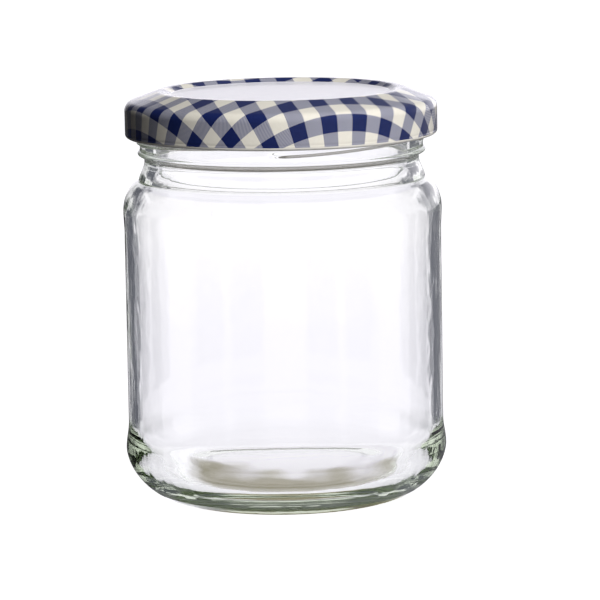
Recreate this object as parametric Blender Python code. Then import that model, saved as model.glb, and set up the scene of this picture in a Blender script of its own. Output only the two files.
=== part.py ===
"""Preserve jar with a twist-off lid: a one-piece glass jar and a pressed tinplate lid that rests on it.

Both pieces are turned shapes, so each is drawn as half a cross-section, as (radius, height) points,
and spun about the Z axis. The thread ridges and the lid's lugs are then raised out of the turned
wall by a rule. Metres, +Z up; the origin is the middle of the jar's foot, on the surface it stands on.
"""

import math

import bmesh
import bpy

MM = 0.001

# Driving dimensions
OVERALL_HEIGHT = 96.0 * MM  # foot to the top of the lid's raised ring
LID_DIAMETER = 73.0 * MM  # a 70 mm twist-off closure, measured over its skirt
LID_HEIGHT = 10.7 * MM
BODY_DIAMETER = 74.2 * MM  # at the label panel
SHOULDER_DIAMETER = 74.6 * MM
HEEL_DIAMETER = 75.5 * MM
NECK_DIAMETER = 66.2 * MM  # the straight wall that carries the thread
WALL = 2.1 * MM  # glass at the label panel
TIN = 0.3 * MM
GAP = 0.3 * MM  # clearance between the jar and the lid
SEGMENTS = 56  # facets around each turned piece
THREAD_STARTS = 4  # thread ridges on the neck, and lugs on the lid

# Foot and heel
PUSH_UP = 1.2 * MM  # how far the underside is pushed up
PUSH_UP_FLAT = 20.6 * MM  # the flat middle of the push-up
PUSH_UP_RADIUS = 24.4 * MM  # where its slope meets the bearing ring
BEARING_RADIUS = 25.6 * MM  # outer edge of the flat ring the jar stands on
HEEL_TOP = 12.0 * MM
HEEL_POWER = 1.75  # below 2 the heel is flatter than an ellipse
LABEL_BOTTOM = 18.0 * MM
LABEL_TOP = 63.0 * MM

# Shoulder and neck
SHOULDER_START = 68.0 * MM
SHOULDER_RISE = 7.6 * MM
SHOULDER_INSET = 6.0 * MM
SHOULDER_SWEEP = 69.0  # degrees of the shoulder's ellipse before the neck takes over
GROOVE_RADIUS = 32.1 * MM
GROOVE_HEIGHT = 79.6 * MM
BEAD_RADIUS = 33.65 * MM
BEAD_HEIGHT = 81.6 * MM
BEAD_ROUND = 0.75 * MM
RIM_TOP = 93.6 * MM
RIM_ROUND = 1.2 * MM
MOUTH_RADIUS = 29.4 * MM

# Inside of the jar
INNER_SHOULDER_START = 67.5 * MM
INNER_SHOULDER_END = 78.5 * MM
FLOOR = 5.8 * MM
FLOOR_CROWN = 0.1 * MM
FLOOR_RADIUS = 28.0 * MM
CORNER_TOP = 15.5 * MM

# Thread
THREAD_BOTTOM = 83.87 * MM  # middle of the ridge at its low end
THREAD_RISE = 2.92 * MM
THREAD_SWEEP = 88.0  # degrees that each ridge runs
THREAD_FIRST = -97.0  # degrees where the first ridge starts
THREAD_HALF_WIDTH = 0.85 * MM
THREAD_DEPTH = 1.1 * MM
THREAD_RUN_OUT = 12.0  # degrees over which a ridge fades at either end
THREAD_ROWS = 8  # rows of facets up the wall that carries the ridges
TOUCH = 0.05 * MM  # how near a point lies to a wall that it belongs to

# Lid
PANEL_RECESS = 1.2 * MM
PANEL_RADIUS = 25.3 * MM
CREST_INNER = 27.6 * MM
CREST_OUTER = 29.3 * MM
CREST_ROUND = 0.6 * MM  # how far the crest's outer edge is eased
SLOPE = math.radians(21.0)  # fall of the lid's outer ring
CORNER_ROUND = 2.4 * MM
CURL_ROUND = 0.9 * MM
CURL_CLOSE = 2.3 * CURL_ROUND  # height above the lid's edge where the curl meets the skirt
SEAL_INNER = 28.7 * MM
SEAL_OUTER = 33.3 * MM
LUG_TIP = 33.9 * MM
LUG_MIDDLE = -12.0  # degrees, the middle of the first lug
LUG_HALF_ANGLE = 10.0
LUG_TOP = 86.0 * MM

LID_TOP = OVERALL_HEIGHT
LID_BOTTOM = OVERALL_HEIGHT - LID_HEIGHT
LID_RADIUS = LID_DIAMETER / 2


def clear_scene():
    for thing in list(bpy.data.objects):
        bpy.data.objects.remove(thing)


def finish(name, colour, roughness, metallic=0.0, transmission=0.0):
    """A Principled BSDF material."""
    material = bpy.data.materials.new(name)
    material.use_nodes = True
    shader = material.node_tree.nodes["Principled BSDF"]
    shader.inputs["Base Color"].default_value = (*colour, 1.0)
    shader.inputs["Roughness"].default_value = roughness
    shader.inputs["Metallic"].default_value = metallic
    shader.inputs["Transmission Weight"].default_value = transmission
    return material


def arc(middle, size, start, end, steps, power=2.0):
    """Points on an ellipse, or a superellipse, about middle, from one angle in degrees to another."""
    points = []
    for i in range(steps + 1):
        angle = math.radians(start + (end - start) * i / steps)
        across, up = math.cos(angle), math.sin(angle)
        across = math.copysign(abs(across) ** (2 / power), across)
        up = math.copysign(abs(up) ** (2 / power), up)
        points.append((middle[0] + size[0] * across, middle[1] + size[1] * up))
    return points


def smooth_between(start, end, steps):
    """Points on an S-shaped line, level with Z at both ends, without its two end points."""
    points = []
    for i in range(1, steps):
        share = i / steps
        ease = share * share * (3 - 2 * share)
        points.append((start[0] + (end[0] - start[0]) * ease, start[1] + (end[1] - start[1]) * share))
    return points


def jar_outside():
    """From the middle of the underside out over the foot and up to the rim."""
    body = BODY_DIAMETER / 2
    shoulder = SHOULDER_DIAMETER / 2
    heel = HEEL_DIAMETER / 2
    neck = NECK_DIAMETER / 2
    points = []
    points += [(0.0, PUSH_UP), (PUSH_UP_FLAT / 2, PUSH_UP), (PUSH_UP_FLAT, PUSH_UP)]
    for share in (0.25, 0.5, 0.75, 1.0):
        ease = share * share * (3 - 2 * share)
        points.append((PUSH_UP_FLAT + (PUSH_UP_RADIUS - PUSH_UP_FLAT) * share, PUSH_UP * (1 - ease)))
    heel_size = (heel - BEARING_RADIUS, HEEL_TOP)
    points += arc((BEARING_RADIUS, HEEL_TOP), heel_size, -90, 0, 10, HEEL_POWER)
    points += smooth_between((heel, HEEL_TOP), (body, LABEL_BOTTOM), 3)
    points += [(body, LABEL_BOTTOM), (body, LABEL_TOP)]
    points += smooth_between((body, LABEL_TOP), (shoulder, SHOULDER_START), 2)
    round_middle = (shoulder - SHOULDER_INSET, SHOULDER_START)
    points += arc(round_middle, (SHOULDER_INSET, SHOULDER_RISE), 0, SHOULDER_SWEEP, 7)
    points += smooth_between(points[-1], (GROOVE_RADIUS, GROOVE_HEIGHT), 4)
    points += [(GROOVE_RADIUS, GROOVE_HEIGHT)]
    bead_size = (BEAD_RADIUS - GROOVE_RADIUS, BEAD_ROUND)
    points += arc((GROOVE_RADIUS, BEAD_HEIGHT), bead_size, -90, 45, 4)
    low, high = BEAD_HEIGHT + BEAD_ROUND, THREAD_BOTTOM + THREAD_RISE + THREAD_HALF_WIDTH
    for i in range(THREAD_ROWS + 1):
        points.append((neck, low + (high - low) * i / THREAD_ROWS))
    points += arc((neck - RIM_ROUND, RIM_TOP - RIM_ROUND), (RIM_ROUND, RIM_ROUND), 0, 90, 3)
    return points


def jar_inside():
    """From the rim down the inside to the middle of the floor."""
    body = BODY_DIAMETER / 2 - WALL
    points = arc((MOUTH_RADIUS + RIM_ROUND, RIM_TOP - RIM_ROUND), (RIM_ROUND, RIM_ROUND), 90, 180, 3)
    points.append((MOUTH_RADIUS, INNER_SHOULDER_END))
    points += smooth_between(points[-1], (body, INNER_SHOULDER_START), 8)
    points.append((body, INNER_SHOULDER_START))
    corner = (body - FLOOR_RADIUS, CORNER_TOP - FLOOR)
    points += arc((FLOOR_RADIUS, CORNER_TOP), corner, 0, -90, 7)
    points += [(0.6 * FLOOR_RADIUS, FLOOR + 0.7 * FLOOR_CROWN), (0.0, FLOOR + FLOOR_CROWN)]
    return points


def lid_outside():
    """From the middle of the lid's panel out over the raised ring and down to the curl."""
    panel = LID_TOP - PANEL_RECESS
    points = [(0.0, panel), (0.55 * PANEL_RADIUS, panel), (PANEL_RADIUS, panel)]
    for share in (0.25, 0.5, 0.75):
        ease = share * share * (3 - 2 * share)
        points.append((PANEL_RADIUS + (CREST_INNER - PANEL_RADIUS) * share, panel + PANEL_RECESS * ease))
    points += [(CREST_INNER, LID_TOP), (CREST_OUTER - CREST_ROUND, LID_TOP)]
    corner = (LID_RADIUS - CORNER_ROUND, lid_corner_height())
    points += arc(corner, (CORNER_ROUND, CORNER_ROUND), 90 - math.degrees(SLOPE), 0, 5)
    curl = (LID_RADIUS - CURL_ROUND, LID_BOTTOM + CURL_ROUND)
    points += arc(curl, (CURL_ROUND, CURL_ROUND), 0, -210, 8)
    return points


def lid_corner_height():
    """Height of the middle of the round between the lid's sloping ring and its skirt."""
    flat = LID_RADIUS - CORNER_ROUND + CORNER_ROUND * math.sin(SLOPE) - CREST_OUTER
    return LID_TOP - flat * math.tan(SLOPE) - CORNER_ROUND * math.cos(SLOPE)


def lid_inside():
    """From the curl up the inside of the skirt, over the sealing ring, to the middle of the panel."""
    wall = LID_RADIUS - TIN
    corner = (LID_RADIUS - CORNER_ROUND, lid_corner_height())
    inner = CORNER_ROUND - TIN
    points = [(wall, LID_BOTTOM + CURL_CLOSE)]
    points += arc(corner, (inner, inner), 0, 90 - math.degrees(SLOPE), 3)
    seal_face = RIM_TOP + GAP
    points += [(SEAL_OUTER, seal_face), (SEAL_INNER, seal_face)]
    under_panel = LID_TOP - PANEL_RECESS - TIN
    points += [(CREST_INNER, under_panel + 0.5 * PANEL_RECESS), (PANEL_RADIUS, under_panel)]
    points += [(0.0, under_panel)]
    return points


def turned(name, outline, material):
    """Spins a half cross-section, which starts and ends on the axis, into one closed solid."""
    bm = bmesh.new()
    start = math.radians(THREAD_FIRST)
    verts = []
    for radius, height in outline:
        verts.append(bm.verts.new((radius * math.cos(start), radius * math.sin(start), height)))
    edges = [bm.edges.new(pair) for pair in zip(verts, verts[1:])]
    bmesh.ops.spin(
        bm,
        geom=verts + edges,
        axis=(0, 0, 1),
        cent=(0, 0, 0),
        steps=SEGMENTS,
        angle=2 * math.pi,
    )
    bmesh.ops.remove_doubles(bm, verts=bm.verts, dist=1e-6)
    bmesh.ops.recalc_face_normals(bm, faces=bm.faces)
    mesh = bpy.data.meshes.new(name)
    bm.to_mesh(mesh)
    bm.free()
    mesh.shade_smooth()
    mesh.set_sharp_from_angle(angle=math.radians(35))
    mesh.materials.append(material)
    piece = bpy.data.objects.new(name, mesh)
    bpy.context.collection.objects.link(piece)
    return piece


def bump(distance, half_width):
    """A smooth ridge section: 1 in the middle, 0 from half_width on."""
    if abs(distance) >= half_width:
        return 0.0
    return math.cos(math.pi / 2 * distance / half_width) ** 2


def fade(angle, sweep, run_out):
    """How full a ridge is at an angle along its sweep: it grows and dies away at the ends."""
    near_end = min(angle, sweep - angle)
    if near_end <= 0:
        return 0.0
    return min(1.0, near_end / run_out)


def raise_threads(jar):
    """Pushes the neck's outer wall out along each thread ridge."""
    neck = NECK_DIAMETER / 2
    spacing = 360.0 / THREAD_STARTS
    for vert in jar.data.vertices:
        x, y, z = vert.co
        radius = math.hypot(x, y)
        if abs(radius - neck) > TOUCH or z > RIM_TOP - RIM_ROUND:
            continue
        turn = (math.degrees(math.atan2(y, x)) - THREAD_FIRST) % 360.0
        height = 0.0
        for start in range(THREAD_STARTS):
            along = (turn - start * spacing) % 360.0
            middle = THREAD_BOTTOM + THREAD_RISE * along / THREAD_SWEEP
            ridge = fade(along, THREAD_SWEEP, THREAD_RUN_OUT) * bump(z - middle, THREAD_HALF_WIDTH)
            height = max(height, THREAD_DEPTH * ridge)
        vert.co.x, vert.co.y = x * (radius + height) / radius, y * (radius + height) / radius


def press_lugs(lid):
    """Pushes the inner side of the curl inwards at each lug."""
    curl_middle = LID_RADIUS - CURL_ROUND
    curl_inner = LID_RADIUS - 2 * CURL_ROUND
    spacing = 360.0 / THREAD_STARTS
    for vert in lid.data.vertices:
        x, y, z = vert.co
        radius = math.hypot(x, y)
        if z >= LID_BOTTOM + CURL_CLOSE or radius > curl_middle + TOUCH:
            continue
        turn = (math.degrees(math.atan2(y, x)) - LUG_MIDDLE) % spacing
        offset = min(turn, spacing - turn)
        reach = (curl_middle - radius) / (curl_middle - curl_inner)
        inwards = (curl_inner - LUG_TIP) * bump(offset, LUG_HALF_ANGLE) * reach
        vert.co.x, vert.co.y = x * (radius - inwards) / radius, y * (radius - inwards) / radius
        if inwards > 0:
            vert.co.z = min(z, LUG_TOP)


clear_scene()
glass = finish("flint_glass", (0.93, 0.96, 0.94), 0.03, transmission=1.0)
tinplate = finish("printed_tinplate", (0.16, 0.18, 0.42), 0.25)
jar = turned("jar", jar_outside() + jar_inside(), glass)
raise_threads(jar)
lid = turned("lid", lid_outside() + lid_inside(), tinplate)
press_lugs(lid)
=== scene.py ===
# %% [markdown]
# # A glass preserve jar with a gingham twist-off lid
#
# The jar is clear soda-lime glass, pressed and then blown in an iron mould. The lid is a round of
# tinplate that was printed flat, varnished and then drawn into shape in a press. Both are round about
# one axis, so both are made on a lathe of nodes, from half a cross-section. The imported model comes
# first, because it says where the two pieces stand and how large they are. Everything here is in
# metres, with Z up, except where a value is said to be in millimetres.

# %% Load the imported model
import math

import bpy
from mathutils import Matrix, Vector


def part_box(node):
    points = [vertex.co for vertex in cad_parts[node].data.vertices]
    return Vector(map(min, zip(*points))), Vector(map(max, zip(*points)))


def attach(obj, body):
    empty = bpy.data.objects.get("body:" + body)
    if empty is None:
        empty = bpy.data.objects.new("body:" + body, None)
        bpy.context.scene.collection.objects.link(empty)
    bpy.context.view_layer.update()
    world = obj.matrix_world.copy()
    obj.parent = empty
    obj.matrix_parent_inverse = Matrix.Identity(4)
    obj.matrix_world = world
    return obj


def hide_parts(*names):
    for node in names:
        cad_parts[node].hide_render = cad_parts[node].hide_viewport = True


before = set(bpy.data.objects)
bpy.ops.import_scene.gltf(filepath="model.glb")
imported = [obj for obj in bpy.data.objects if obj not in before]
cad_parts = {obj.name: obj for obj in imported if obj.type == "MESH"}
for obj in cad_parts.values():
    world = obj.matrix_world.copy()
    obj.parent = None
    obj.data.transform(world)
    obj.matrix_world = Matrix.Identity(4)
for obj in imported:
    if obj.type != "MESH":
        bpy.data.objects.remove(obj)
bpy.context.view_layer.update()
for node in sorted(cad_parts):
    low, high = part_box(node)
    print(node, "spans", [round(1000 * v, 2) for v in (*low, *high)], "mm")

# %% [markdown]
# ## Two small helpers
#
# Colours are picked in sRGB, the way a paint card or a web page gives them, but the renderer adds light
# in linear numbers, so one function converts them. The other helper adds a node: its settings are given
# by name, and each input gets a value or, where it is given another node's output, a link.

# %% Colour and node helpers
MM = 0.001


def srgb(code):
    """A linear RGBA colour from an sRGB hex code such as #ffffff."""
    levels = [int(code[i : i + 2], 16) / 255 for i in (1, 3, 5)]
    return (*[c / 12.92 if c <= 0.04045 else ((c + 0.055) / 1.055) ** 2.4 for c in levels], 1.0)


def add_node(tree, kind, inputs=None, **settings):
    """Adds a node, sets its settings, then fills its inputs with values or links."""
    made = tree.nodes.new(kind)
    for name, value in settings.items():
        setattr(made, name, value)
    for name, value in (inputs or {}).items():
        if isinstance(value, bpy.types.NodeSocket):
            tree.links.new(value, made.inputs[name])
        else:
            made.inputs[name].default_value = value
    return made


print("a mid grey is", [round(c, 3) for c in srgb("#808080")[:3]], "in linear light")

# %% [markdown]
# ## Drawing a cross-section
#
# A turned shape is drawn as (radius, height) points on one side of the axis. Most of it is straight
# lines, parts of ellipses and soft S-shaped changes from one width to the next, so two functions draw
# those. A superellipse, with a power below 2, is flatter than an ellipse, as the heel of this jar is.


# %% Functions that draw parts of a cross-section
def arc(middle, size, start, end, steps, power=2.0):
    """Points on an ellipse, or a superellipse, about middle, from one angle in degrees to another."""
    points = []
    for i in range(steps + 1):
        angle = math.radians(start + (end - start) * i / steps)
        across, up = math.cos(angle), math.sin(angle)
        across = math.copysign(abs(across) ** (2 / power), across)
        up = math.copysign(abs(up) ** (2 / power), up)
        points.append((middle[0] + size[0] * across, middle[1] + size[1] * up))
    return points


def smooth_between(start, end, steps):
    """Points on an S-shaped line, level with the axis at both ends, without its two end points."""
    points = []
    for i in range(1, steps):
        share = i / steps
        ease = share * share * (3 - 2 * share)
        points.append((start[0] + (end[0] - start[0]) * ease, start[1] + (end[1] - start[1]) * share))
    return points


def straight(start, end, steps):
    """Evenly spaced points on a straight line, with both its ends."""
    return [tuple(a + (b - a) * i / steps for a, b in zip(start, end)) for i in range(steps + 1)]


halfway = arc((0.0, 0.0), (1.0, 1.0), 0, 90, 2)[1]
print("half way round a quarter circle of radius 1 is", [round(v, 3) for v in halfway])

# %% [markdown]
# ## The jar's cross-section
#
# The line starts in the middle of the underside, runs out along the flat push-up and down an easy step
# to the ring the jar stands on, round the heel, up the label panel, which is sunk a little so that
# labels don't scuff, over the shoulder, into the groove and over the bead below the lid's edge, and up
# to the rim. All numbers here are millimetres.

# %% Draw the outside of the jar
HEEL_RADIUS, BODY_RADIUS, SHOULDER_RADIUS, NECK_RADIUS = 37.75, 37.1, 37.3, 33.1
PUSH_UP, PUSH_UP_FLAT, PUSH_UP_RADIUS = 1.2, 17.5, 24.4
BEARING_RADIUS, HEEL_TOP, HEEL_POWER = 25.6, 12.0, 1.75
PANEL_FOOT, PANEL_HEAD = 18.0, 63.0
SHOULDER_FOOT, SHOULDER_WIDTH, SHOULDER_RISE, SHOULDER_TURN = 68.0, 6.0, 7.6, 69
GROOVE_RADIUS, GROOVE_HEIGHT, BEAD_RADIUS, BEAD_HEIGHT, BEAD_ROUND = 32.1, 79.6, 33.65, 81.6, 0.75
THREAD_BOTTOM, THREAD_RISE, THREAD_HALF_WIDTH = 83.87, 2.5, 0.85
RIM_TOP, RIM_ROUND = 93.6, 1.2

underside = straight((0.0, PUSH_UP), (PUSH_UP_FLAT, PUSH_UP), 20)
step = smooth_between((PUSH_UP, PUSH_UP_FLAT), (0.0, PUSH_UP_RADIUS), 12)
underside += [(r, z) for z, r in step] + [(PUSH_UP_RADIUS, 0.0)]
heel_size = (HEEL_RADIUS - BEARING_RADIUS, HEEL_TOP)
heel = arc((BEARING_RADIUS, HEEL_TOP), heel_size, -90, 0, 40, HEEL_POWER)
panel = straight((BODY_RADIUS, PANEL_FOOT), (BODY_RADIUS, PANEL_HEAD), 20)
shoulder_middle = (SHOULDER_RADIUS - SHOULDER_WIDTH, SHOULDER_FOOT)
shoulder = arc(shoulder_middle, (SHOULDER_WIDTH, SHOULDER_RISE), 0, SHOULDER_TURN, 22)
bead = arc((GROOVE_RADIUS, BEAD_HEIGHT), (BEAD_RADIUS - GROOVE_RADIUS, BEAD_ROUND), -90, 45, 14)
thread_top = THREAD_BOTTOM + THREAD_RISE + THREAD_HALF_WIDTH
neck = straight((NECK_RADIUS, BEAD_HEIGHT + BEAD_ROUND), (NECK_RADIUS, thread_top), 44)
rim = arc((NECK_RADIUS - RIM_ROUND, RIM_TOP - RIM_ROUND), (RIM_ROUND, RIM_ROUND), 0, 90, 8)

outside = underside + heel
outside += smooth_between(heel[-1], panel[0], 8) + panel
outside += smooth_between(panel[-1], shoulder[0], 6) + shoulder
outside += smooth_between(shoulder[-1], (GROOVE_RADIUS, GROOVE_HEIGHT), 10)
outside += [(GROOVE_RADIUS, GROOVE_HEIGHT)] + bead + neck + rim
print("the outside takes", len(outside), "points, up to a rim at", RIM_TOP, "mm")

# %% [markdown]
# From the rim the line comes back down the inside: a straight throat, the wall, which is 2.1 mm thick at
# the label panel, and the wide round corner over the heel, where the glass is thickest. The plunger that
# presses the hot glass leaves the faintest of rings round the edge of the floor, so a sine wave is added
# to the height there. It is strongest at the floor's edge and fades to nothing on either side.

# %% Draw the inside of the jar
WALL, MOUTH_RADIUS, THROAT_FOOT, INNER_HEAD = 2.1, 29.4, 78.5, 67.5
FLOOR, FLOOR_CROWN, FLOOR_RADIUS, CORNER_TOP = 5.8, 0.1, 28.0, 15.5
RIPPLE_FROM, RIPPLE_EVERY, RIPPLE = 22.0, 2.0, 0.03
inner_radius = BODY_RADIUS - WALL


def rippled(points):
    """Adds the faint rings that the plunger leaves round the floor's edge."""
    waved = []
    for r, z in points:
        strength = max(0.0, 1 - abs(r - FLOOR_RADIUS) / (FLOOR_RADIUS - RIPPLE_FROM))
        wave = math.sin(2 * math.pi * (r - RIPPLE_FROM) / RIPPLE_EVERY)
        waved.append((r, z + RIPPLE * strength * wave))
    return waved


lip = arc((MOUTH_RADIUS + RIM_ROUND, RIM_TOP - RIM_ROUND), (RIM_ROUND, RIM_ROUND), 90, 180, 8)
throat = straight((MOUTH_RADIUS, RIM_TOP - RIM_ROUND - 0.5), (MOUTH_RADIUS, THROAT_FOOT), 10)
inner_wall = straight((inner_radius, INNER_HEAD), (inner_radius, CORNER_TOP + 0.5), 20)
corner = arc((FLOOR_RADIUS, CORNER_TOP), (inner_radius - FLOOR_RADIUS, CORNER_TOP - FLOOR), 0, -90, 48)
floor = []
for i in range(1, 61):
    share = 1 - i / 60
    floor.append((FLOOR_RADIUS * share, FLOOR + FLOOR_CROWN * (1 - share**2)))
inside = lip[1:] + throat + smooth_between(throat[-1], inner_wall[0], 16) + inner_wall
inside += rippled(corner) + rippled(floor)
print("the inside takes", len(inside), "points, down to a floor", FLOOR, "mm up")

# %% [markdown]
# ## The lathe
#
# Blender's Screw modifier or the Spin tool would turn a line into a solid, but the jar also needs its
# thread and the lid its lugs, and both follow a rule of angle and height. So one Geometry Nodes tree
# does it all. A flat grid has a column for each point of the cross-section and a row for each step
# round the axis. Each grid point looks up its place in the cross-section, is pushed out or in where a
# ridge or a lug passes, and is then turned about Z by its row's angle.

# %% Keep a cross-section as a chain of points with zones
def outline_object(name, points, zones):
    """A chain of (radius, height) points in millimetres, with one number of each zone at each point."""
    mesh = bpy.data.meshes.new(name)
    mesh.from_pydata([(r * MM, 0, z * MM) for r, z in points], [], [])
    for zone, values in zones.items():
        mesh.attributes.new(zone, "FLOAT", "POINT").data.foreach_set("value", values)
    made = bpy.data.objects.new(name, mesh)
    bpy.context.collection.objects.link(made)
    print(name, "has", len(points), "points and the zones", ", ".join(zones))
    return made


# %% [markdown]
# The tree's sizes are named inputs, so that the jar and the lid can share it. Lengths are in metres and
# angles in degrees. The zones say which points each rule may move: the ridge zone is the neck's wall,
# the lug zones say how far the curl's points move in and down at a lug, and the wave zone is the inside
# of the glass, which no mould touches and which therefore comes out a little uneven. A ridge or a wave
# has no height unless a piece asks for it, and a second finish starts past the last point of any
# outline unless a piece says otherwise.

# %% Start the lathe's tree with its named inputs
PAST_THE_END = 1e6
LATHE_INPUTS = {
    "Steps": 256,
    "Start Angle": -95.5,
    "Starts": 4.0,
    "Ridge Bottom": THREAD_BOTTOM * MM,
    "Ridge Rise": THREAD_RISE * MM,
    "Ridge Sweep": 88.0,
    "Ridge Half Width": THREAD_HALF_WIDTH * MM,
    "Ridge Depth": 0.0,
    "Run Out": 18.0,
    "Lug Middle": -12.0,
    "Lug Half Angle": 10.0,
    "Wave Height": 0.0,
    "Sheet Angle": -67.0,
    "Second From": PAST_THE_END,
    "Third From": PAST_THE_END,
}
FINISHES = ("Material", "Second Material", "Third Material")
lathe = bpy.data.node_groups.new("Lathe", "GeometryNodeTree")
for way in ("INPUT", "OUTPUT"):
    lathe.interface.new_socket("Geometry", in_out=way, socket_type="NodeSocketGeometry")
for title, value in LATHE_INPUTS.items():
    kind = "NodeSocketInt" if isinstance(value, int) else "NodeSocketFloat"
    lathe.interface.new_socket(title, in_out="INPUT", socket_type=kind).default_value = value
for title in FINISHES:
    lathe.interface.new_socket(title, in_out="INPUT", socket_type="NodeSocketMaterial")
sizes = add_node(lathe, "NodeGroupInput").outputs
print("the lathe has", len(LATHE_INPUTS), "sizes to set")

# %% [markdown]
# The grid is one unit from point to point, so a point's place on it is also its number along the
# cross-section (X) and its step round the axis (Y).

# %% Lay out the grid and read the cross-section for each of its points
points = add_node(lathe, "GeometryNodeAttributeDomainSize", {0: sizes["Geometry"]}, component="MESH")
gaps = add_node(lathe, "ShaderNodeMath", {0: points.outputs[0], 1: 1.0}, operation="SUBTRACT").outputs[0]
rows = add_node(lathe, "ShaderNodeMath", {0: sizes["Steps"], 1: 1.0}, operation="ADD").outputs[0]
grid = add_node(
    lathe,
    "GeometryNodeMeshGrid",
    {"Size X": gaps, "Size Y": sizes["Steps"], "Vertices X": points.outputs[0], "Vertices Y": rows},
)
place = add_node(lathe, "GeometryNodeInputPosition").outputs[0]
place = add_node(lathe, "ShaderNodeSeparateXYZ", {0: place}).outputs
half = add_node(lathe, "ShaderNodeMath", {0: gaps, 1: 0.5}, operation="MULTIPLY").outputs[0]
column = add_node(lathe, "ShaderNodeMath", {0: place[0], 1: half}, operation="ADD").outputs[0]
number = add_node(lathe, "FunctionNodeFloatToInt", {0: column}, rounding_mode="ROUND").outputs[0]
share = add_node(lathe, "ShaderNodeMath", {0: place[1], 1: sizes["Steps"]}, operation="DIVIDE").outputs[0]
turn = add_node(
    lathe,
    "ShaderNodeMath",
    {0: share, 1: 360.0, 2: sizes["Start Angle"]},
    operation="MULTIPLY_ADD",
).outputs[0]
looked_up = {}
for zone in ("position", "ridge", "lug_in", "lug_down", "wave", "sheet"):
    kind = "FLOAT_VECTOR" if zone == "position" else "FLOAT"
    stored = add_node(lathe, "GeometryNodeInputNamedAttribute", {"Name": zone}, data_type=kind)
    read = add_node(lathe, "GeometryNodeSampleIndex", {"Geometry": sizes["Geometry"]}, data_type=kind)
    lathe.links.new(stored.outputs[0], read.inputs["Value"])
    lathe.links.new(number, read.inputs["Index"])
    looked_up[zone] = read.outputs[0]
profile = add_node(lathe, "ShaderNodeSeparateXYZ", {0: looked_up["position"]}).outputs
print("each grid point reads", ", ".join(looked_up))

# %% [markdown]
# A twist-off jar has four short ridges in place of one long screw thread. Each starts low, climbs as it
# goes round, and fades in and out at its ends. The angle is folded into one quarter turn, which makes
# all four at once: the ridge's middle height comes from how far along it a point is.

# %% Work out the thread's ridges
one_start = add_node(lathe, "ShaderNodeMath", {0: 360.0, 1: sizes["Starts"]}, operation="DIVIDE").outputs[0]
spin = add_node(
    lathe, "ShaderNodeMath", {0: turn, 1: sizes["Start Angle"]}, operation="SUBTRACT"
).outputs[0]
along = add_node(lathe, "ShaderNodeMath", {0: spin, 1: one_start}, operation="FLOORED_MODULO").outputs[0]
climb = add_node(
    lathe, "ShaderNodeMath", {0: along, 1: sizes["Ridge Sweep"]}, operation="DIVIDE"
).outputs[0]
middle = add_node(
    lathe,
    "ShaderNodeMath",
    {0: climb, 1: sizes["Ridge Rise"], 2: sizes["Ridge Bottom"]},
    operation="MULTIPLY_ADD",
).outputs[0]
above = add_node(lathe, "ShaderNodeMath", {0: profile[2], 1: middle}, operation="SUBTRACT").outputs[0]
away = add_node(lathe, "ShaderNodeMath", {0: above}, operation="ABSOLUTE").outputs[0]
section = add_node(
    lathe,
    "ShaderNodeMapRange",
    {"Value": away, "From Min": sizes["Ridge Half Width"], "From Max": 0.0},
    interpolation_type="SMOOTHSTEP",
).outputs[0]
left_over = add_node(
    lathe, "ShaderNodeMath", {0: sizes["Ridge Sweep"], 1: along}, operation="SUBTRACT"
).outputs[0]
from_end = add_node(lathe, "ShaderNodeMath", {0: along, 1: left_over}, operation="MINIMUM").outputs[0]
fade = add_node(
    lathe,
    "ShaderNodeMapRange",
    {"Value": from_end, "From Max": sizes["Run Out"]},
    interpolation_type="SMOOTHSTEP",
).outputs[0]
ridge = add_node(lathe, "ShaderNodeMath", {0: section, 1: fade}, operation="MULTIPLY").outputs[0]
ridge = add_node(
    lathe, "ShaderNodeMath", {0: ridge, 1: sizes["Ridge Depth"]}, operation="MULTIPLY"
).outputs[0]
ridge = add_node(
    lathe, "ShaderNodeMath", {0: ridge, 1: looked_up["ridge"]}, operation="MULTIPLY"
).outputs[0]
print("the ridges take", len(lathe.nodes), "nodes so far")

# %% [markdown]
# A lug is where the lid's curl is pressed in to catch under a ridge. Ping-pong folds the angle so that
# it is 0 at the middle of each lug and grows to either side.

# %% Work out the lid's lugs
half_start = add_node(lathe, "ShaderNodeMath", {0: one_start, 1: 0.5}, operation="MULTIPLY").outputs[0]
from_lug = add_node(
    lathe, "ShaderNodeMath", {0: turn, 1: sizes["Lug Middle"]}, operation="SUBTRACT"
).outputs[0]
from_lug = add_node(lathe, "ShaderNodeMath", {0: from_lug, 1: half_start}, operation="PINGPONG").outputs[0]
pressed = add_node(
    lathe,
    "ShaderNodeMapRange",
    {"Value": from_lug, "From Min": sizes["Lug Half Angle"], "From Max": 0.0},
    interpolation_type="SMOOTHSTEP",
).outputs[0]
lug_in = add_node(
    lathe, "ShaderNodeMath", {0: looked_up["lug_in"], 1: pressed}, operation="MULTIPLY"
).outputs[0]
lug_down = add_node(
    lathe, "ShaderNodeMath", {0: looked_up["lug_down"], 1: pressed}, operation="MULTIPLY"
).outputs[0]
print("a lug is pressed every", 360 / LATHE_INPUTS["Starts"], "degrees")

# %% [markdown]
# A noise texture's scale is how many of its grains fit in a metre. Grains are easier to count over a few
# millimetres, as one would with a rule held against the real surface, so a function turns one into the
# other. The glass here has waves about 14 mm from crest to crest round the wall and 22 mm up it, because
# it sagged as it was blown.

# %% Turn a count of grains into a texture's scale
def grain_scale(grains, length):
    """The scale of a noise texture with so many grains over a length in millimetres."""
    return grains / (length * MM)


WAVES_ROUND, WAVES_UP = grain_scale(7, 100), grain_scale(9, 200)
print("the glass has", round(WAVES_ROUND), "waves in a metre round and", round(WAVES_UP), "up")

# %% [markdown]
# The waves are read where the point lands in space, so that they meet at the seam. The ridges, the waves
# and the lugs then move the point, and it is turned about the axis.

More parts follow.
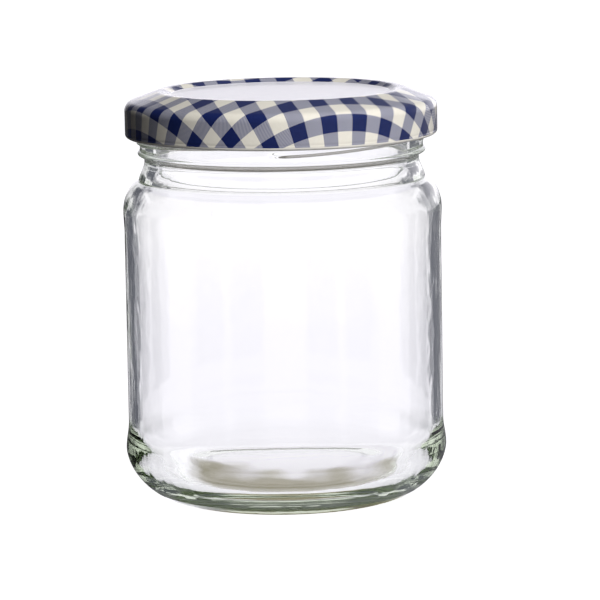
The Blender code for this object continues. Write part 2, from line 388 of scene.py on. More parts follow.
# %% Add the waves and turn every point about the axis
turn_radians = add_node(lathe, "ShaderNodeMath", {0: turn}, operation="RADIANS").outputs[0]
landed = add_node(
    lathe,
    "ShaderNodeVectorRotate",
    {"Vector": looked_up["position"], "Angle": turn_radians},
    rotation_type="Z_AXIS",
).outputs[0]
stretch = {0: landed, 1: (WAVES_ROUND, WAVES_ROUND, WAVES_UP)}
squashed = add_node(lathe, "ShaderNodeVectorMath", stretch, operation="MULTIPLY").outputs[0]
noise = add_node(
    lathe, "ShaderNodeTexNoise", {"Vector": squashed, "Scale": 1.0, "Detail": 2.0}
).outputs[0]
wave = add_node(lathe, "ShaderNodeMath", {0: noise, 1: 0.5}, operation="SUBTRACT").outputs[0]
wave = add_node(
    lathe, "ShaderNodeMath", {0: wave, 1: sizes["Wave Height"]}, operation="MULTIPLY"
).outputs[0]
wave = add_node(lathe, "ShaderNodeMath", {0: wave, 1: looked_up["wave"]}, operation="MULTIPLY").outputs[0]
out = profile[0]
for move, way in ((ridge, "ADD"), (wave, "ADD"), (lug_in, "SUBTRACT")):
    out = add_node(lathe, "ShaderNodeMath", {0: out, 1: move}, operation=way).outputs[0]
up = add_node(lathe, "ShaderNodeMath", {0: profile[2], 1: lug_down}, operation="SUBTRACT").outputs[0]
moved = add_node(lathe, "ShaderNodeCombineXYZ", {0: out, 2: up}).outputs[0]
turned = add_node(
    lathe,
    "ShaderNodeVectorRotate",
    {"Vector": moved, "Angle": turn_radians},
    rotation_type="Z_AXIS",
).outputs[0]
print("each point moves by its ridge, its wave and its lug")

# %% [markdown]
# The lid was printed as a flat sheet and then drawn, so its pattern has to know where each point lay on
# the sheet. That place is kept as a UV map: the sheet zone is the radius on the flat sheet, and the
# angle hardly changed in the press. Each face also keeps the number of its cross-section point, which
# later tells the finishes apart.

# %% Keep the place on the flat sheet and the point number, then close the mesh
sheet_turn = add_node(
    lathe, "ShaderNodeMath", {0: turn, 1: sizes["Sheet Angle"]}, operation="SUBTRACT"
).outputs[0]
sheet_turn = add_node(lathe, "ShaderNodeMath", {0: sheet_turn}, operation="RADIANS").outputs[0]
sheet = []
for way in ("SINE", "COSINE"):
    part = add_node(lathe, "ShaderNodeMath", {0: sheet_turn}, operation=way).outputs[0]
    sheet.append(
        add_node(lathe, "ShaderNodeMath", {0: part, 1: looked_up["sheet"]}, operation="MULTIPLY").outputs[0]
    )
flat_place = add_node(lathe, "ShaderNodeCombineXYZ", {0: sheet[0], 1: sheet[1]}).outputs[0]
with_sheet = add_node(
    lathe,
    "GeometryNodeStoreNamedAttribute",
    {"Geometry": grid.outputs[0], "Name": "Sheet", "Value": flat_place},
    data_type="FLOAT2",
    domain="CORNER",
)
strip = add_node(lathe, "ShaderNodeMath", {0: column}, operation="FLOOR").outputs[0]
with_strip = add_node(
    lathe,
    "GeometryNodeStoreNamedAttribute",
    {"Geometry": with_sheet.outputs[0], "Name": "strip", "Value": strip},
    data_type="FLOAT",
    domain="FACE",
)
bent = add_node(lathe, "GeometryNodeSetPosition", {"Geometry": with_strip.outputs[0], "Position": turned})
closed = add_node(lathe, "GeometryNodeMergeByDistance", {"Geometry": bent.outputs[0], "Distance": 1e-6})
smooth = add_node(lathe, "GeometryNodeSetShadeSmooth", {"Geometry": closed.outputs[0]})
print("the mesh is closed after", len(lathe.nodes), "nodes")

# %% [markdown]
# The first material covers everything. Each later one starts at a point of the cross-section and covers
# every face from there on, so a finish ends where the next one starts.

# %% Give each stretch of the cross-section its material
painted = add_node(lathe, "GeometryNodeRealizeInstances", {"Geometry": smooth.outputs[0]})
strips = add_node(lathe, "GeometryNodeInputNamedAttribute", {"Name": "strip"}, data_type="FLOAT").outputs[0]
for title, first in zip(FINISHES, (-1.0, sizes["Second From"], sizes["Third From"])):
    reached = add_node(lathe, "FunctionNodeCompare", {0: strips, 1: first}, operation="GREATER_EQUAL")
    painted = add_node(
        lathe,
        "GeometryNodeSetMaterial",
        {"Geometry": painted.outputs[0], "Selection": reached.outputs[0], "Material": sizes[title]},
    )
add_node(lathe, "NodeGroupOutput", {"Geometry": painted.outputs[0]})
print("the lathe has", len(lathe.nodes), "nodes")

# %% [markdown]
# The tree runs as a modifier on an outline. A modifier's inputs are set by their identifiers, so the
# names are looked up first. The result is then kept as a plain mesh and the modifier is taken off, so
# nothing is left to work out later. A negative volume would mean that the faces point inwards.

# %% A function that turns an outline into a piece
def turned_piece(outline, settings, materials, keep_sheet=False):
    """Runs an outline through the lathe and keeps the result as a plain mesh in the same object."""
    sockets = {item.name: item.identifier for item in lathe.interface.items_tree if item.in_out == "INPUT"}
    modifier = outline.modifiers.new("Lathe", "NODES")
    modifier.node_group = lathe
    for title, value in {**settings, **dict(zip(FINISHES, materials))}.items():
        modifier[sockets[title]] = value
    mesh = bpy.data.meshes.new_from_object(outline.evaluated_get(bpy.context.evaluated_depsgraph_get()))
    outline.modifiers.remove(modifier)
    for spare in ["strip"] if keep_sheet else ["strip", "Sheet"]:
        mesh.attributes.remove(mesh.attributes[spare])
    mesh.name = outline.name
    outline.data = mesh
    inside_out = sum(f.center.dot(f.normal) * f.area for f in mesh.polygons) < 0
    if inside_out:
        mesh.flip_normals()
    print(outline.name, "has", len(mesh.polygons), "faces; turned the right way out:", inside_out)
    return outline


# %% [markdown]
# ## The glass
#
# Flint glass is the trade's name for clear soda-lime container glass. It bends light with an IOR of
# 1.52. A thin wall looks colourless, but iron in the sand makes it green where light runs a long way
# through it, as in the heel. So the surface is pure clear and the colour sits in the volume: absorption
# per metre of path. The blown inner side is never quite even. A faint bump, a centimetre or two from
# crest to crest, gives the eye that, with a trace of haze where the same noise runs high.

# %% Make the glass
GLASS_TINT, GLASS_DENSITY, GLASS_IOR = srgb("#e0e8d8"), 24.0, 1.52
BUMPS_ROUND, BUMPS_UP, BUMP_HEIGHT, MOST_HAZE = grain_scale(9, 100), grain_scale(4, 100), 0.4, 0.02
glass = bpy.data.materials.new("Flint glass, pressed and blown")
glass.use_nodes = True
tree = glass.node_tree
shader = tree.nodes["Principled BSDF"]
shader.inputs["Base Color"].default_value = srgb("#ffffff")
shader.inputs["IOR"].default_value = GLASS_IOR
shader.inputs["Transmission Weight"].default_value = 1.0
where = add_node(tree, "ShaderNodeTexCoord").outputs["Object"]
stretch = {"Vector": where, "Scale": (BUMPS_ROUND, BUMPS_ROUND, BUMPS_UP)}
ripples = add_node(tree, "ShaderNodeMapping", stretch).outputs[0]
ripples = add_node(tree, "ShaderNodeTexNoise", {"Vector": ripples, "Scale": 1.0, "Detail": 3.0}).outputs[0]
relief = {"Height": ripples, "Strength": 0.3, "Distance": BUMP_HEIGHT * MM}
bump = add_node(tree, "ShaderNodeBump", relief)
tree.links.new(bump.outputs[0], shader.inputs["Normal"])
haze = add_node(
    tree,
    "ShaderNodeMapRange",
    {"Value": ripples, "From Min": 0.35, "From Max": 0.65, "To Max": MOST_HAZE},
).outputs[0]
tree.links.new(haze, shader.inputs["Roughness"])
absorb = add_node(tree, "ShaderNodeVolumeAbsorption", {"Color": GLASS_TINT, "Density": GLASS_DENSITY})
tree.links.new(absorb.outputs[0], tree.nodes["Material Output"].inputs["Volume"])
through = [round(math.exp(-0.01 * GLASS_DENSITY * (1 - c)), 3) for c in GLASS_TINT[:3]]
print("over 10 mm the glass lets through", through)

# %% [markdown]
# ## Turning the jar
#
# The jar's outline goes through the lathe with two zones. Only the straight wall of the neck carries the
# thread. The waves fill the inside and fade out up the neck, between 78 and 90 mm, because the mouth is
# pressed to shape before the rest is blown. A ridge stands out 1.1 mm, and a wave less than a tenth of
# a millimetre.

# %% Turn the jar
RIDGE_DEPTH, WAVE_HEIGHT = 1.1, 0.08
WAVE_FADE_TOP, WAVE_FADE = 90, 12
on_neck = [1.0 if abs(r - NECK_RADIUS) < 1e-6 and z < RIM_TOP - RIM_ROUND else 0.0 for r, z in outside]
waved_inside = [min(1.0, max(0.0, (WAVE_FADE_TOP - z) / WAVE_FADE)) for r, z in inside]
jar_outline = outline_object(
    "glass_jar",
    outside + inside,
    {
        "ridge": on_neck + [0.0] * len(inside),
        "wave": [0.0] * len(outside) + waved_inside,
    },
)
jar = turned_piece(
    jar_outline, {"Ridge Depth": RIDGE_DEPTH * MM, "Wave Height": WAVE_HEIGHT * MM}, [glass]
)

# %% [markdown]
# ## The lid's cross-section
#
# The lid is one drawn shell 0.3 mm thick: a sunken panel, a raised ring, a slope, a tight corner, the
# skirt, and a curl that rolls the cut edge out of harm's way. The line runs over the outside first, then
# back along the inside to the middle.

# %% Draw the lid's cross-section
LID_TOP, LID_BOTTOM, LID_RADIUS, TIN = 96.0, 85.3, 36.5, 0.3
PANEL_DEPTH, PANEL_RADIUS, CREST_INNER, CREST_OUTER = 0.95, 25.3, 27.6, 29.3
SLOPE, CORNER_ROUND, CURL_ROUND = math.radians(21.0), 2.4, 0.9
UNDER_CREST, SKIRT_FOOT, UNDER_FOOT, CREST_EASE = (28.6, 27.8), 0.45, 2.3, 0.6
panel_z = LID_TOP - PANEL_DEPTH
flat = LID_RADIUS - CORNER_ROUND + CORNER_ROUND * math.sin(SLOPE) - CREST_OUTER
corner_height = LID_TOP - flat * math.tan(SLOPE) - CORNER_ROUND * math.cos(SLOPE)
corner_middle = (LID_RADIUS - CORNER_ROUND, corner_height)
curl_middle = (LID_RADIUS - CURL_ROUND, LID_BOTTOM + CURL_ROUND)
slope_end = 90 - math.degrees(SLOPE)
crest_end = (CREST_OUTER - CREST_EASE, LID_TOP)


def panel_step(height, steps):
    """The S-shaped step from the sunken panel up to the raised ring."""
    turned = smooth_between((height, PANEL_RADIUS), (height + PANEL_DEPTH, CREST_INNER), steps)
    return [(r, z) for z, r in turned]


lid_flat = straight((0.0, panel_z), (PANEL_RADIUS, panel_z), 24)
lid_crest = panel_step(panel_z, 10) + straight((CREST_INNER, LID_TOP), crest_end, 4)
round_over = arc(corner_middle, (CORNER_ROUND, CORNER_ROUND), slope_end, 0, 16)
lid_slope = straight(lid_crest[-1], round_over[0], 10)[1:-1]
lid_skirt = straight(round_over[-1], (LID_RADIUS, curl_middle[1] + SKIRT_FOOT), 10)[1:]
lid_over = lid_flat + lid_crest + lid_slope + round_over + lid_skirt
lid_curl = arc(curl_middle, (CURL_ROUND, CURL_ROUND), 20, -210, 22)
lid_under = [(LID_RADIUS - TIN, LID_BOTTOM + UNDER_FOOT * CURL_ROUND)]
lid_under += arc(corner_middle, (CORNER_ROUND - TIN, CORNER_ROUND - TIN), 0, slope_end, 12)
lid_under += [(r, LID_TOP - TIN) for r in UNDER_CREST]
lid_under += list(reversed(panel_step(panel_z - TIN, 8))) + [(PANEL_RADIUS, panel_z - TIN)]
lid_under += straight((PANEL_RADIUS, panel_z - TIN), (0.0, panel_z - TIN), 16)[1:]
lid_points = lid_over + lid_curl + lid_under
print("the lid's corner starts at", [round(v, 2) for v in round_over[0]], "mm")

# %% [markdown]
# Where the sheet was drawn down over the corner it was squeezed round its edge and stretched outwards.
# Inside the raised ring nothing moved. Past it, the radius a point had on the flat sheet grows with its
# distance along the surface: at first by 0.64 mm for each millimetre, because the tin stretched most
# over the corner, and nearly one for one at the skirt's edge. That number goes with each point.

# %% Work out where each point of the lid lay on the flat sheet
DRAW_START, DRAW_GROWTH = 0.636, 0.0116


def sheet_radii(points):
    """The radius on the flat sheet, in metres, of each point on the lid's outside."""
    radii, travelled = [], None
    for i, (r, z) in enumerate(points):
        if i == 0 or r <= CREST_OUTER and travelled is None:
            radii.append(r)
            continue
        gone = math.dist(points[i - 1], points[i])
        travelled = r - CREST_OUTER if travelled is None else travelled + gone
        radii.append(CREST_OUTER + DRAW_START * travelled + DRAW_GROWTH * travelled**2)
    return [r * MM for r in radii]


radii = sheet_radii(lid_over + lid_curl)
print("the printed sheet was used out to", round(2000 * max(radii), 1), "mm across")

# %% [markdown]
# ## The gingham print
#
# Gingham is woven from white and dyed yarns in equal stripes both ways. Where two dyed stripes cross the
# cloth is solid navy, where one crosses white it is a half tone of fine diagonal twill lines, and
# elsewhere it is plain. The lid is printed with exactly that, in navy on cream. The pattern reads the
# Sheet UV map, which is in metres, so it bends over the corner as the real print does. One stripe is
# 3.69 mm across and 3.40 mm along. The twill lines are 0.32 mm apart, which is about as fine as can
# still be told apart from where the camera stands.

# %% Lay out the gingham's stripes and twill
STRIPE_ACROSS, STRIPE_ALONG, TWILL_EVERY = 3.69, 3.4, 0.32
PRINT_SHIFT, NO_INK, ALL_INK = (-2.035, -37.84), -1.4, 1.7
REPEAT, INK_GRAIN = (2 * STRIPE_ACROSS, 2 * STRIPE_ALONG), grain_scale(3, 2)
gingham = bpy.data.materials.new("Offset-printed and varnished tinplate")
gingham.use_nodes = True
tree = gingham.node_tree
shader = tree.nodes["Principled BSDF"]
sheet = add_node(tree, "ShaderNodeUVMap", uv_map="Sheet").outputs[0]
stripe = add_node(
    tree,
    "ShaderNodeMapping",
    {
        "Vector": sheet,
        "Location": (PRINT_SHIFT[0] / REPEAT[0], PRINT_SHIFT[1] / REPEAT[1], 0),
        "Scale": (1 / (REPEAT[0] * MM), 1 / (REPEAT[1] * MM), 1),
    },
).outputs[0]
stripe = add_node(tree, "ShaderNodeVectorMath", {0: stripe}, operation="FRACTION").outputs[0]
stripe = add_node(tree, "ShaderNodeSeparateXYZ", {0: stripe}).outputs
across = add_node(tree, "ShaderNodeMath", {0: stripe[0], 1: 0.5}, operation="LESS_THAN").outputs[0]
down = add_node(tree, "ShaderNodeMath", {0: stripe[1], 1: 0.5}, operation="GREATER_THAN").outputs[0]
both = add_node(tree, "ShaderNodeMath", {0: across, 1: down}, operation="MULTIPLY").outputs[0]
either = add_node(tree, "ShaderNodeMath", {0: across, 1: down}, operation="MAXIMUM").outputs[0]
print("a gingham repeat is", REPEAT, "mm")

# %% [markdown]
# The wave texture draws the twill. Its diagonal bands repeat every 2 pi / (10 x scale) along X plus Y,
# which is the square root of 2 times their true distance, so the scale is worked out from the distance
# wanted. The wave runs from 0 to 1, well inside the values that would give no ink and all of it, so the
# lines have soft edges and never quite reach plain cream or plain navy, as fine print does.

# %% Draw the twill and ink the pattern
twill_scale = 2 * math.pi / (10 * math.sqrt(2) * TWILL_EVERY * MM)
twill = add_node(
    tree, "ShaderNodeTexWave", {"Vector": sheet, "Scale": twill_scale}, bands_direction="DIAGONAL"
).outputs[1]
twill = add_node(
    tree,
    "ShaderNodeMapRange",
    {"Value": twill, "From Min": NO_INK, "From Max": ALL_INK},
    interpolation_type="SMOOTHSTEP",
).outputs[0]
half_tone = add_node(tree, "ShaderNodeMath", {0: twill, 1: either}, operation="MULTIPLY").outputs[0]
ink = add_node(tree, "ShaderNodeMath", {0: both, 1: half_tone}, operation="MAXIMUM").outputs[0]
where = add_node(tree, "ShaderNodeTexCoord").outputs["Object"]
grain = {"Vector": where, "Scale": INK_GRAIN, "Detail": 3.0}
grain = add_node(tree, "ShaderNodeTexNoise", grain).outputs[0]
colours = {}
for name, light, dark in (("navy", "#101a46", "#192556"), ("cream", "#d9d5ca", "#d0cbbe")):
    colours[name] = add_node(
        tree, "ShaderNodeMix", {0: grain, 6: srgb(light), 7: srgb(dark)}, data_type="RGBA"
    ).outputs[2]
line = add_node(
    tree, "ShaderNodeMix", {0: both, 6: srgb("#28396f"), 7: colours["navy"]}, data_type="RGBA"
).outputs[2]
printed = add_node(
    tree, "ShaderNodeMix", {0: ink, 6: colours["cream"], 7: line}, data_type="RGBA"
).outputs[2]
tree.links.new(printed, shader.inputs["Base Color"])
print("the twill lines are", TWILL_EVERY, "mm apart")

# %% [markdown]
# Over the ink lies a coat of clear varnish, baked on. It gives the sharp shine, so the shader's coat does
# that, and the ink below is nearly matt. The varnish has a very shallow orange peel.

# %% Varnish the print
PEEL_GRAIN, PEEL_HEIGHT = grain_scale(7, 20), 0.1
shader.inputs["Roughness"].default_value = 0.35
shader.inputs["Specular IOR Level"].default_value = 0.1
shader.inputs["Coat Weight"].default_value = 1.0
shader.inputs["Coat Roughness"].default_value = 0.06
peel = {"Vector": where, "Scale": PEEL_GRAIN, "Detail": 2.0}
peel = add_node(tree, "ShaderNodeTexNoise", peel).outputs[0]
relief = {"Height": peel, "Strength": 0.25, "Distance": PEEL_HEIGHT * MM}
bump = add_node(tree, "ShaderNodeBump", relief)
tree.links.new(bump.outputs[0], shader.inputs["Normal"])
tree.links.new(bump.outputs[0], shader.inputs["Coat Normal"])
print("the varnish's orange peel is about", round(1 / (PEEL_GRAIN * MM), 1), "mm from crest to crest")

# %% [markdown]
# ## White enamel, lacquer and sealing compound
#
# The sunken panel is coated in plain white enamel, baked on in the same oven as the print. The inside
# is coated too, in a thinner food-safe lacquer. The sealing compound is a soft vinyl that is piped into
# the channel and cured there: it is off-white, matt and slightly uneven. All three differ only in their
# two tones, roughness, gloss coat, grain and the height of the grain in millimetres, so one function
# makes them.

# %% Make the plain coatings
def coating(name, light, dark, roughness, coat, scale, height):
    """A coat of paint or vinyl whose tone and gloss drift a little between two colours."""
    material = bpy.data.materials.new(name)
    material.use_nodes = True
    tree = material.node_tree
    shader = tree.nodes["Principled BSDF"]
    where = add_node(tree, "ShaderNodeTexCoord").outputs["Object"]
    drift = add_node(
        tree, "ShaderNodeTexNoise", {"Vector": where, "Scale": scale, "Detail": 4.0}
    ).outputs[0]
    tone = add_node(tree, "ShaderNodeMix", {0: drift, 6: srgb(light), 7: srgb(dark)}, data_type="RGBA")
    gloss = add_node(
        tree,
        "ShaderNodeMapRange",
        {"Value": drift, "To Min": roughness - 0.05, "To Max": roughness + 0.05},
    )
    relief = {"Height": drift, "Strength": 0.3, "Distance": height * MM}
    bump = add_node(tree, "ShaderNodeBump", relief)
    tree.links.new(tone.outputs[2], shader.inputs["Base Color"])
    tree.links.new(gloss.outputs[0], shader.inputs["Roughness"])
    tree.links.new(bump.outputs[0], shader.inputs["Normal"])
    shader.inputs["Coat Weight"].default_value = coat
    shader.inputs["Coat Roughness"].default_value = 0.05
    return material


enamel = coating(
    "Baked white enamel on tinplate", "#e9e7ed", "#e1dfe6", 0.45, 0.2, grain_scale(2, 5), 0.1
)
lacquer = coating(
    "White food-safe lacquer on tinplate", "#efece4", "#e2ddd2", 0.4, 0.2, grain_scale(3, 10), 0.1
)
compound = coating(
    "Cured vinyl sealing compound", "#e8e4da", "#d8d3c6", 0.55, 0.0, grain_scale(3, 5), 0.2
)
print("three coatings made")

# %% [markdown]
# ## Turning the lid
#
# The lid's finishes change along the cross-section: enamel on the panel, the print from the panel's step
# to the curl, and lacquer on the curl and inside. The lugs are pressed into the curl's inner side: each
# of its points moves in by its share of the way round the curl, and none stays higher than the lug's top.

# %% Turn the lid
LUG_DEPTH, LUG_TOP = 0.8, 86.0
print_from, lacquer_from = len(lid_flat) + 1, len(lid_over) + 3
lug_in, lug_down = [], []
for i, (r, z) in enumerate(lid_points):
    on_curl = len(lid_over) <= i < len(lid_over) + len(lid_curl) and r < curl_middle[0]
    lug_in.append((curl_middle[0] - r) / CURL_ROUND * LUG_DEPTH * MM if on_curl else 0.0)
    lug_down.append(max(0.0, z - LUG_TOP) * MM if on_curl else 0.0)
lid_outline = outline_object(
    "tin_lid",
    lid_points,
    {"lug_in": lug_in, "lug_down": lug_down, "sheet": radii + [0.0] * len(lid_under)},
)
lid = turned_piece(
    lid_outline,
    {"Second From": print_from - 0.5, "Third From": lacquer_from - 0.5},
    [enamel, gingham, lacquer],
    keep_sheet=True,
)

# %% [markdown]
# ## Piping the sealing ring
#
# The sealing ring sits in the channel inside the lid's raised ring and slope, right over the jar's rim.
# On a real lid it is piped in wet while the lid spins. Its underside is nearly flat, 0.3 mm above the
# glass, its edges are round, and its upper side follows the slope of the tin. The outline ends where it
# began, so the ring closes on itself.

# %% Pipe the sealing ring
SEAL_GAP, SEAL_INNER, SEAL_OUTER = 0.3, 28.8, 33.85
INNER_ROUND, OUTER_ROUND, FACE_DISH = 0.4, (0.35, 0.2), 0.02
FACE_FLAT, UPPER_RADII = (30.0, 32.6), (33.6, 32.5, 31.5, 30.5, 29.6, 28.9)
SLOPE_LOW_RADIUS, SLOPE_LOW_HEIGHT, SLOPE_FALL = 34.85, 93.57, 0.347
seal_face = RIM_TOP + SEAL_GAP


def under_slope(r):
    """Height of the lid's underside, over the seal, at a radius."""
    return SLOPE_LOW_HEIGHT + (SLOPE_LOW_RADIUS - r) * SLOPE_FALL


inner_middle = (SEAL_INNER + INNER_ROUND, seal_face + INNER_ROUND)
outer_middle = (SEAL_OUTER - OUTER_ROUND[0], seal_face + OUTER_ROUND[1])
seal_points = arc(inner_middle, (INNER_ROUND, INNER_ROUND), 180, 270, 5)
seal_points += straight(*[(r, seal_face + FACE_DISH) for r in FACE_FLAT], 6)
seal_points += arc(outer_middle, OUTER_ROUND, -90, 20, 5)
seal_points += [(r, under_slope(r)) for r in UPPER_RADII]
seal_points.append(seal_points[0])
seal = turned_piece(outline_object("sealing_ring", seal_points, {}), {}, [compound])

# %% [markdown]
# ## Fitting the pieces to the imported model
#
# Each new piece takes the place of a solid of the imported model, which is hidden, and rides on its
# one body. The finish listed with each piece is not used here.

# %% Replace the plain solids
for piece, solid, finish in (
    (jar, "jar", "flint_glass"),
    (lid, "lid", "printed_tinplate"),
    (seal, "lid", "printed_tinplate"),
):
    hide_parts(solid)
    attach(piece, "root")
    places = list(zip(*[vertex.co for vertex in piece.data.vertices]))
    corners = [[round(1000 * end(values), 2) for values in places] for end in (min, max)]
    print(piece.name, "spans", corners, "mm")

# %% [markdown]
# ## The camera
#
# The camera stands 0.94 m away and 187 mm up, with a long lens, so that the jar's sides stay upright
# and its foot and lid are seen from a little above. It leans by less than a degree.

# %% Place the camera
STAND, AIM = Vector((0.0, -0.942, 0.1868)), Vector((0.00375, 0.0, 0.04605))
ROLL, LENS, SENSOR = math.radians(-0.95), 243.108, 36.0
camera = bpy.data.objects.new("camera", bpy.data.cameras.new("camera"))
bpy.context.collection.objects.link(camera)
camera.data.sensor_width = SENSOR
camera.data.lens = LENS
turn_to = (AIM - STAND).to_track_quat("-Z", "Y").to_matrix().to_4x4()
camera.matrix_world = Matrix.Translation(STAND) @ turn_to @ Matrix.Rotation(ROLL, 4, "Z")
bpy.context.scene.camera = camera
print("the lens is", round(camera.data.lens, 1), "mm")

# %% [markdown]
# ## The studio
#
# Clear glass has no colour of its own to light: it shows what stands round it. Photographers light it
# from behind with a white sheet, and stand dark boards just out of view on either side. The boards bend
# into the glass as dark edges, which draw its shape. Here the world does that job, with boards on all
# four sides, so that the jar reads from any of them. What a ray meets is worked out from the way it is
# going. Its bearing is folded into eighths of a turn: 0 degrees is straight out along X or Y, and 45 is
# a corner of the room.

# %% Start the studio's world
world = bpy.data.worlds.new("studio")
bpy.context.scene.world = world
world.use_nodes = True
tree = world.node_tree
way = add_node(tree, "ShaderNodeTexCoord").outputs["Generated"]
way = add_node(tree, "ShaderNodeSeparateXYZ", {0: way}).outputs
bearing = add_node(tree, "ShaderNodeMath", {0: way[1], 1: way[0]}, operation="ARCTAN2").outputs[0]
fold = {0: bearing, 1: math.radians(45.0)}
folded = add_node(tree, "ShaderNodeMath", fold, operation="PINGPONG").outputs[0]
print("the world is worked out from a ray's bearing and height")

# %% [markdown]
# A white front stands square to each axis, 14 degrees to either side. Then comes a grey board, and in
# each corner of the room a narrow white gap between two boards. The boards reach from about 12 degrees
# below level to 20 above. Those in front of the jar are lighter, or they would draw stripes across its
# middle. Each limit is soft: a value goes smoothly from 0 to 1 between two bearings or two heights. A
# height here is the Z of a ray one unit long.

# %% Say where each part of the studio begins and ends
LIMITS = {
    "past_front": (folded, math.radians(14.0), math.radians(19.0)),
    "before_corner": (folded, math.radians(43.5), math.radians(41.5)),
    "under_board_tops": (way[2], 0.5, 0.35),
    "over_board_feet": (way[2], -0.26, -0.2),
    "overhead": (way[2], 0.35, 0.5),
    "low_down": (way[2], -0.12, -0.165),
    "to_the_right": (way[0], -0.6, 0.6),
    "not_far_left": (way[0], -0.4, 0.0),
    "behind": (way[1], 0.3, 0.8),
    "over_table": (way[2], -0.085, -0.045),
    "under_sheet_top": (way[2], 0.45, 0.2),
}
limit = {}
for name, (value, none, full) in LIMITS.items():
    limit[name] = add_node(
        tree,
        "ShaderNodeMapRange",
        {"Value": value, "From Min": none, "From Max": full},
        interpolation_type="SMOOTHSTEP",
    ).outputs[0]
limit["not_in_front"] = add_node(
    tree,
    "ShaderNodeMapRange",
    {"Value": way[1], "From Min": -0.4, "From Max": -0.1, "To Min": 0.4},
    interpolation_type="SMOOTHSTEP",
).outputs[0]
print("the studio has", len(limit), "soft limits")

# %% [markdown]
# Limits that are multiplied hold together: a board is where all of its own limits are 1. What the glass
# lets through is then the white sheet, a little duller low down, the boards, and grey overhead.

# %% Make what is seen through the glass
together = {}
for name, parts in (
    ("board", ("past_front", "before_corner", "under_board_tops", "over_board_feet", "not_in_front")),
    ("sheet_behind", ("behind", "over_table", "under_sheet_top", "not_far_left")),
):
    together[name] = limit[parts[0]]
    for part in parts[1:]:
        product = {0: together[name], 1: limit[part]}
        together[name] = add_node(tree, "ShaderNodeMath", product, operation="MULTIPLY").outputs[0]
backdrop = srgb("#fcfaff")
for amount, colour in (
    (limit["low_down"], "#f1eff7"),
    (together["board"], "#61636c"),
    (limit["overhead"], "#77777b"),
):
    layer = {0: amount, 6: backdrop, 7: srgb(colour)}
    backdrop = add_node(tree, "ShaderNodeMix", layer, data_type="RGBA").outputs[2]
print("through the glass: sheet, boards and overhead")

# %% [markdown]
# Paint and varnish need another studio than glass does, and a photographer would set flags and cards for
# them. A world can do so without any, because a light path tells it what kind of ray asks. Diffuse rays,
# which light the paint, meet a room that is dark on the left and mid grey on the right. Mirrored rays
# meet nearly the same, with the white sheet behind. Rays straight to the camera see plain white.

# %% Answer each kind of ray
SHEET_GLOW, WORLD_STRENGTH = (1.02, 1.0, 1.07, 1.0), 1.2
toward_right = limit["to_the_right"]
room = {0: toward_right, 6: srgb("#1c1c1e"), 7: srgb("#8c8c90")}
room = add_node(tree, "ShaderNodeMix", room, data_type="RGBA").outputs[2]
mirrored = {0: toward_right, 6: srgb("#1e1e20"), 7: srgb("#7c7c80")}
mirrored = add_node(tree, "ShaderNodeMix", mirrored, data_type="RGBA").outputs[2]
mirrored = {0: together["sheet_behind"], 6: mirrored, 7: SHEET_GLOW}
mirrored = add_node(tree, "ShaderNodeMix", mirrored, data_type="RGBA").outputs[2]
path = add_node(tree, "ShaderNodeLightPath").outputs
light = backdrop
for kind, answer in (
    ("Is Reflection Ray", mirrored),
    ("Is Diffuse Ray", room),
    ("Is Camera Ray", srgb("#ffffff")),
):
    light = {0: path[kind], 6: light, 7: answer}
    light = add_node(tree, "ShaderNodeMix", light, data_type="RGBA").outputs[2]
tree.links.new(light, tree.nodes["Background"].inputs["Color"])
tree.nodes["Background"].inputs["Strength"].default_value = WORLD_STRENGTH
print("the world tells apart reflection, diffuse and camera rays")

# %% [markdown]
# ## The lamps
#
# Two soft lamps light the lid: a key from the front right and above, and a fill from behind. Light
# linking keeps them off the jar, where they would show as bright squares. So they light only what is
# in a collection of their own, the painted pieces, and no mirrored or bent ray sees them either.

# %% Set up the lamps
LAMP_WIDTH, LAMP_AIM = 0.5, Vector((0, 0, 0.08))
painted_pieces = bpy.data.collections.new("painted_pieces")
painted_pieces.objects.link(lid)
painted_pieces.objects.link(seal)


def soft_lamp(name, watts, place):
    """A square lamp aimed at the lid, which lights only the painted pieces and is mirrored in none."""
    lamp = bpy.data.lights.new(name, "AREA")
    lamp.shape, lamp.size, lamp.energy = "SQUARE", LAMP_WIDTH, watts
    made = bpy.data.objects.new(name, lamp)
    bpy.context.collection.objects.link(made)
    aim = (LAMP_AIM - place).to_track_quat("-Z", "Y").to_matrix().to_4x4()
    made.matrix_world = Matrix.Translation(place) @ aim
    made.visible_camera = made.visible_transmission = made.visible_glossy = False
    made.light_linking.receiver_collection = painted_pieces
    print("the", name, "lamp gives", watts, "W from", round(place.length, 2), "m away")


soft_lamp("key", 13.6, Vector((0.41, -0.71, 0.654)))
soft_lamp("fill", 8.0, Vector((0.12, 0.98, 0.17)))

# %% [markdown]
# ## The table
#
# A lit white table is the plainest floor for glass. It is two discs that give off their own light. Only
# the camera sees the large one, so that it can't colour the glass or the lid. The small one lies under
# the jar, a tenth of a millimetre lower, and the camera sees it only through the glass. It stands for
# the piece of table that shows through the base.

# %% Lay the table
TABLE_RADIUS, SPOT_RADIUS, SPOT_DROP, DISC_SIDES = 2.5, 0.03, 0.0001, 120


def lit_disc(name, radius, glow):
    """A flat white disc, in metres, that gives off its own light."""
    material = bpy.data.materials.new(name)
    material.use_nodes = True
    shader = material.node_tree.nodes["Principled BSDF"]
    shader.inputs["Base Color"].default_value = srgb("#f4f4f4")
    shader.inputs["Roughness"].default_value = 0.9
    shader.inputs["Emission Color"].default_value = srgb("#ffffff")
    shader.inputs["Emission Strength"].default_value = glow
    mesh = bpy.data.meshes.new(name)
    angles = [math.radians(360 * i / DISC_SIDES) for i in range(DISC_SIDES)]
    corners = [(radius * math.cos(angle), radius * math.sin(angle), 0.0) for angle in angles]
    mesh.from_pydata(corners, [], [list(range(DISC_SIDES))])
    mesh.materials.append(material)
    disc = bpy.data.objects.new(name, mesh)
    bpy.context.collection.objects.link(disc)
    return disc


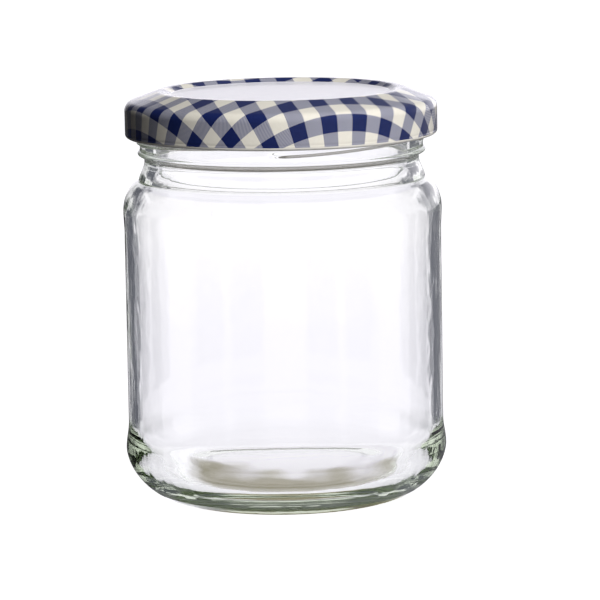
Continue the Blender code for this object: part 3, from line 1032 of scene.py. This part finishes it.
table = lit_disc("lit_table", TABLE_RADIUS, 0.95)
table.visible_transmission = table.visible_glossy = table.visible_diffuse = False
spot = lit_disc("table_through_glass", SPOT_RADIUS, 1.18)
spot.visible_camera = False
spot.location.z = -SPOT_DROP
print("the table is", 2 * TABLE_RADIUS, "m across")

# %% [markdown]
# The jar's shadow on the table is painted onto the small disc, warm and uneven: a painted shade of
# pale lilac grey in an oval under the push-up, and a painted tan shadow along the oval's front. A point
# is tan where it lies far enough forward. Points near the oval's edge count as further forward than
# they are, and smooth noise moves the line to and fro, which breaks the tan shadow up into patches.

# %% Paint the jar's shadow on the table under the base
OVAL_SHIFT, OVAL_STRETCH, OVAL_EDGE, OVAL_FULL = -0.0025, 0.75, 0.0285, 0.0235
EDGE_PULL, PATCHINESS, TAN_NONE, TAN_FULL = -0.5, 0.045, 0.012, -0.004
PATCH_GRAIN = grain_scale(7, 100)
tree = spot.data.materials[0].node_tree
where = add_node(tree, "ShaderNodeTexCoord").outputs["Object"]
place = add_node(tree, "ShaderNodeSeparateXYZ", {0: where}).outputs
oval = add_node(
    tree,
    "ShaderNodeVectorMath",
    {0: where, 1: (1.0, OVAL_STRETCH, 1.0), 2: (OVAL_SHIFT, 0.0, 0.0)},
    operation="MULTIPLY_ADD",
).outputs[0]
out = add_node(tree, "ShaderNodeVectorMath", {0: oval}, operation="LENGTH").outputs[1]
patches = {"Vector": where, "Scale": PATCH_GRAIN, "Detail": 1.0}
patches = add_node(tree, "ShaderNodeTexNoise", patches).outputs[0]
depth = place[1]
for value, share in ((out, EDGE_PULL), (patches, PATCHINESS)):
    depth = {0: value, 1: share, 2: depth}
    depth = add_node(tree, "ShaderNodeMath", depth, operation="MULTIPLY_ADD").outputs[0]
soft = []
for value, none, full in ((out, OVAL_EDGE, OVAL_FULL), (depth, TAN_NONE, TAN_FULL)):
    edge = {"Value": value, "From Min": none, "From Max": full}
    soft.append(add_node(tree, "ShaderNodeMapRange", edge, interpolation_type="SMOOTHSTEP").outputs[0])
under, front = soft
shade = add_node(tree, "ShaderNodeMath", {0: under, 1: front}, operation="MULTIPLY").outputs[0]
# Painted shadow: lilac grey in the oval under the push-up, tan at the oval's front, on base and glow alike.
painted_shadow_colour = srgb("#f1eff7")
for amount, colour in ((under, "#d0cdd6"), (shade, "#7a735a")):
    painted_shadow_colour = {0: amount, 6: painted_shadow_colour, 7: srgb(colour)}
    painted_shadow_colour = add_node(tree, "ShaderNodeMix", painted_shadow_colour, data_type="RGBA").outputs[2]
for socket in ("Base Color", "Emission Color"):
    tree.links.new(painted_shadow_colour, tree.nodes["Principled BSDF"].inputs[socket])
print("the oval is", round(2000 * OVAL_EDGE), "mm across, under a jar", 2 * HEEL_RADIUS, "mm across")

# %% [markdown]
# ## Renderer settings
#
# Light has to pass four glass surfaces to get through the jar, and in the heel it is turned back inside
# the glass many times over, which counts as mirroring. So paths are allowed far more bounces of both
# kinds than usual. The colours go to the screen unchanged, with the Standard view.

# %% Choose how light is followed and shown
scene = bpy.context.scene
scene.cycles.max_bounces = 64
scene.cycles.transmission_bounces = 48
scene.cycles.glossy_bounces = 48
scene.cycles.use_denoising = True
scene.view_settings.view_transform = "Standard"
print("paths may bounce", scene.cycles.max_bounces, "times")
